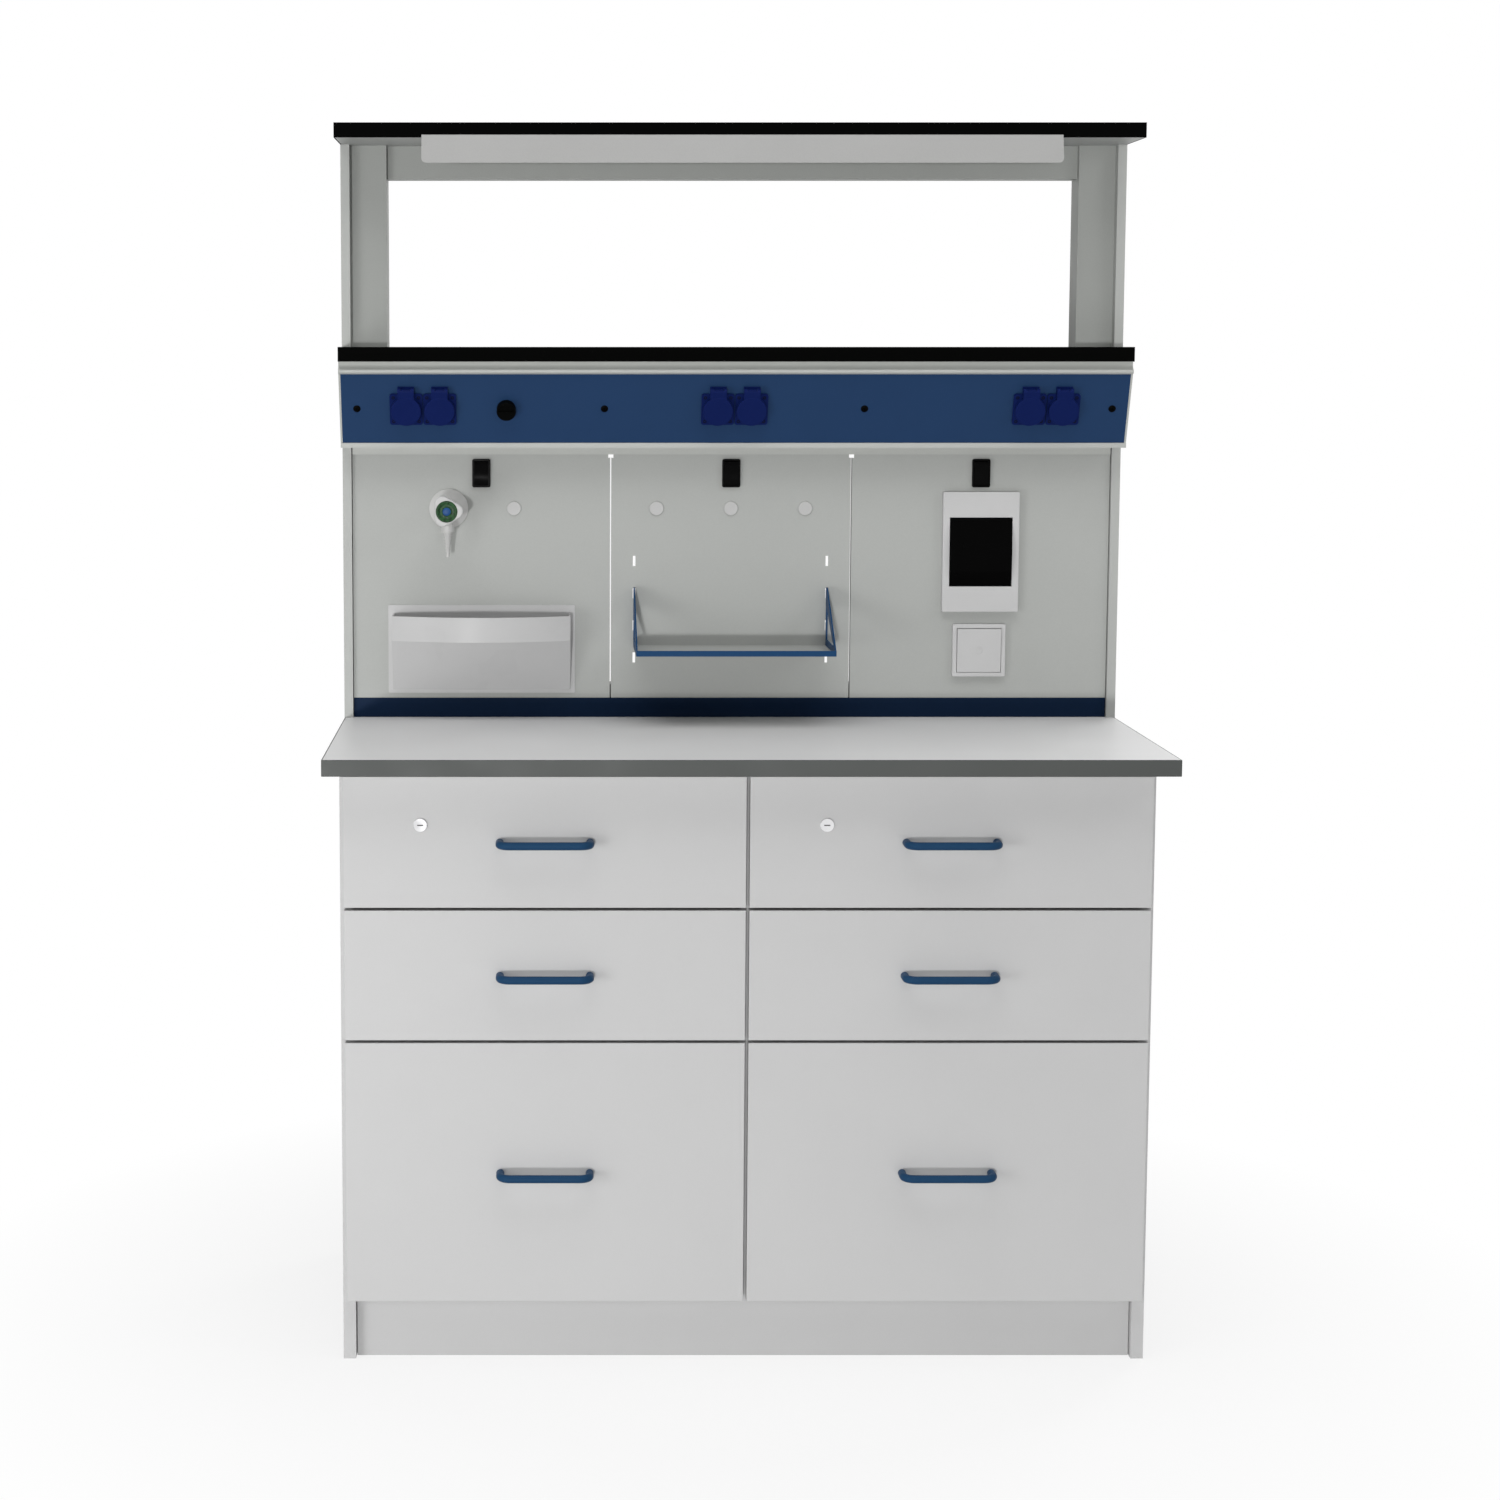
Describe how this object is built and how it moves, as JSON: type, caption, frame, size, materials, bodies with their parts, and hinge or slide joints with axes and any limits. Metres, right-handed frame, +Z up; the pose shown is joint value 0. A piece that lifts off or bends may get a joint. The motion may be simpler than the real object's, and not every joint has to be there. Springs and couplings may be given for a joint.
{
  "type": "laboratory table",
  "caption": "Laboratory bench with lockable drawers under a laminate worktop and a service superstructure with shelves, lamp, flap sockets, valve, breaker box and fitted panels.",
  "frame": {"origin": "on the floor under the centre of the table's bounding box", "axes": "+Z up, +X to the right seen from the front, +Y to the back"},
  "size_m": [1.2, 0.6, 1.79],
  "materials": {
    "cabinet_board": "light-grey faced chipboard",
    "drawer_board": "light-grey faced chipboard",
    "worktop_laminate": "matt light-grey laminate",
    "worktop_edge": "dark-grey edge band",
    "shelf_board": "grey laminate",
    "shelf_edge": "black edge band",
    "upright_board": "grey faced board",
    "frame_metal": "grey powder coat",
    "panel_metal": "light-grey powder coat",
    "casing_metal": "light-grey powder coat",
    "blue_metal": "blue powder coat",
    "tray_metal": "grey powder coat",
    "handle_blue": "blue coating",
    "lamp_shell": "light-grey coating",
    "lamp_lens": "opal",
    "socket_blue": "blue, satin",
    "black_plastic": "black, glossy",
    "plug_plastic": "grey",
    "white_plastic": "white, satin",
    "valve_enamel": "white epoxy coat",
    "smoked_plastic": "dark tinted",
    "breaker_plastic": "grey",
    "runner_steel": "zinc plated",
    "lock_chrome": "polished"
  },
  "bodies": {
    "table": {"cabinet_sides": "cabinet_board", "cabinet_divider": "cabinet_board", "cabinet_floor": "cabinet_board", "cabinet_back": "cabinet_board", "plinth_board": "cabinet_board", "cabinet_top_rails": "cabinet_board", "worktop": "worktop_laminate", "worktop_edge_band": "worktop_edge", "top_shelf": "shelf_board", "middle_shelf": "shelf_board", "shelf_edge_bands": "shelf_edge", "upright_panels": "upright_board", "upright_posts": "frame_metal", "cross_rails": "frame_metal", "infill_panel_left": "panel_metal", "infill_panel_centre": "panel_metal", "infill_panel_right": "panel_metal", "service_casing": "casing_metal", "service_panel": "blue_metal", "splash_riser": "blue_metal", "shelf_brackets": "blue_metal", "shelf_tray": "tray_metal", "lamp_housing": "lamp_shell", "lamp_diffuser": "lamp_lens", "socket_bodies": "socket_blue", "switch_bezels": "black_plastic", "blanking_plugs": "plug_plastic", "wall_pocket": "white_plastic", "breaker_box": "white_plastic", "wall_switch_frame": "white_plastic", "valve_body": "valve_enamel", "breakers": "breaker_plastic", "cabinet_runners": "runner_steel"},
    "drawer_bottom_left": {"drawer_bottom_left": "drawer_board", "handle_bottom_left": "handle_blue"},
    "drawer_middle_left": {"drawer_middle_left": "drawer_board", "handle_middle_left": "handle_blue"},
    "drawer_top_left": {"drawer_top_left": "drawer_board", "handle_top_left": "handle_blue"},
    "lock_left": {"lock_barrel_left": "lock_chrome"},
    "drawer_bottom_right": {"drawer_bottom_right": "drawer_board", "handle_bottom_right": "handle_blue"},
    "drawer_middle_right": {"drawer_middle_right": "drawer_board", "handle_middle_right": "handle_blue"},
    "drawer_top_right": {"drawer_top_right": "drawer_board", "handle_top_right": "handle_blue"},
    "lock_right": {"lock_barrel_right": "lock_chrome"},
    "socket_lid_1": {"socket_lid_1": "socket_blue"},
    "socket_lid_2": {"socket_lid_2": "socket_blue"},
    "socket_lid_3": {"socket_lid_3": "socket_blue"},
    "socket_lid_4": {"socket_lid_4": "socket_blue"},
    "socket_lid_5": {"socket_lid_5": "socket_blue"},
    "socket_lid_6": {"socket_lid_6": "socket_blue"},
    "rocker_left": {"rocker_left": "black_plastic"},
    "rocker_centre": {"rocker_centre": "black_plastic"},
    "rocker_right": {"rocker_right": "black_plastic"},
    "light_knob": {"light_knob": "black_plastic"},
    "valve_knob": {"valve_knob": "white_plastic"},
    "breaker_door": {"breaker_door": "smoked_plastic"},
    "wall_switch_key": {"wall_switch_key": "white_plastic"}
  },
  "joints": [
    {"name": "drawer_bottom_left_slide", "type": "slide", "parent": "table", "child": "drawer_bottom_left", "axis": [0, -1, 0], "range_m": [0, 0.35]},
    {"name": "drawer_middle_left_slide", "type": "slide", "parent": "table", "child": "drawer_middle_left", "axis": [0, -1, 0], "range_m": [0, 0.35]},
    {"name": "drawer_top_left_slide", "type": "slide", "parent": "table", "child": "drawer_top_left", "axis": [0, -1, 0], "range_m": [0, 0.35]},
    {"name": "lock_left_turn", "type": "hinge", "parent": "drawer_top_left", "child": "lock_left", "pos_m": [-0.4645, -0.247, 0.787], "axis": [0, -1, 0], "range_deg": [0, 90]},
    {"name": "drawer_bottom_right_slide", "type": "slide", "parent": "table", "child": "drawer_bottom_right", "axis": [0, -1, 0], "range_m": [0, 0.35]},
    {"name": "drawer_middle_right_slide", "type": "slide", "parent": "table", "child": "drawer_middle_right", "axis": [0, -1, 0], "range_m": [0, 0.35]},
    {"name": "drawer_top_right_slide", "type": "slide", "parent": "table", "child": "drawer_top_right", "axis": [0, -1, 0], "range_m": [0, 0.35]},
    {"name": "lock_right_turn", "type": "hinge", "parent": "drawer_top_right", "child": "lock_right", "pos_m": [0.1115, -0.247, 0.787], "axis": [0, -1, 0], "range_deg": [0, 90]},
    {"name": "socket_lid_1_hinge", "type": "hinge", "parent": "table", "child": "socket_lid_1", "pos_m": [-0.4985, 0.08803, 1.3937], "axis": [-1, 0, 0], "range_deg": [0, 95], "stiffness_Nm_per_rad": 0.01, "springref_deg": -34.38},
    {"name": "socket_lid_2_hinge", "type": "hinge", "parent": "table", "child": "socket_lid_2", "pos_m": [-0.4475, 0.08803, 1.3937], "axis": [-1, 0, 0], "range_deg": [0, 95], "stiffness_Nm_per_rad": 0.01, "springref_deg": -34.38},
    {"name": "socket_lid_3_hinge", "type": "hinge", "parent": "table", "child": "socket_lid_3", "pos_m": [-0.0255, 0.08803, 1.3937], "axis": [-1, 0, 0], "range_deg": [0, 95], "stiffness_Nm_per_rad": 0.01, "springref_deg": -34.38},
    {"name": "socket_lid_4_hinge", "type": "hinge", "parent": "table", "child": "socket_lid_4", "pos_m": [0.0255, 0.08803, 1.3937], "axis": [-1, 0, 0], "range_deg": [0, 95], "stiffness_Nm_per_rad": 0.01, "springref_deg": -34.38},
    {"name": "socket_lid_5_hinge", "type": "hinge", "parent": "table", "child": "socket_lid_5", "pos_m": [0.4475, 0.08803, 1.3937], "axis": [-1, 0, 0], "range_deg": [0, 95], "stiffness_Nm_per_rad": 0.01, "springref_deg": -34.38},
    {"name": "socket_lid_6_hinge", "type": "hinge", "parent": "table", "child": "socket_lid_6", "pos_m": [0.4985, 0.08803, 1.3937], "axis": [-1, 0, 0], "range_deg": [0, 95], "stiffness_Nm_per_rad": 0.01, "springref_deg": -34.38},
    {"name": "rocker_left_rock", "type": "hinge", "parent": "table", "child": "rocker_left", "pos_m": [-0.38625, 0.171, 1.2675], "axis": [-1, 0, 0], "range_deg": [0, 12]},
    {"name": "rocker_centre_rock", "type": "hinge", "parent": "table", "child": "rocker_centre", "pos_m": [0, 0.171, 1.2675], "axis": [-1, 0, 0], "range_deg": [0, 12]},
    {"name": "rocker_right_rock", "type": "hinge", "parent": "table", "child": "rocker_right", "pos_m": [0.38625, 0.171, 1.2675], "axis": [-1, 0, 0], "range_deg": [0, 12]},
    {"name": "light_knob_turn", "type": "hinge", "parent": "table", "child": "light_knob", "pos_m": [-0.3466, 0.107, 1.36785], "axis": [0, -0.9307, -0.3658], "range_deg": [0, 270]},
    {"name": "valve_knob_turn", "type": "hinge", "parent": "table", "child": "valve_knob", "pos_m": [-0.43675, 0.103, 1.213], "axis": [0, -1, 0], "range_deg": [0, 270]},
    {"name": "breaker_door_hinge", "type": "hinge", "parent": "table", "child": "breaker_door", "pos_m": [0.38625, 0.1635, 1.1956], "axis": [-1, 0, 0], "range_deg": [0, 95]},
    {"name": "wall_switch_key_rock", "type": "hinge", "parent": "table", "child": "wall_switch_key", "pos_m": [0.38625, 0.167, 0.9929], "axis": [-1, 0, 0], "range_deg": [0, 6]}
  ]
}
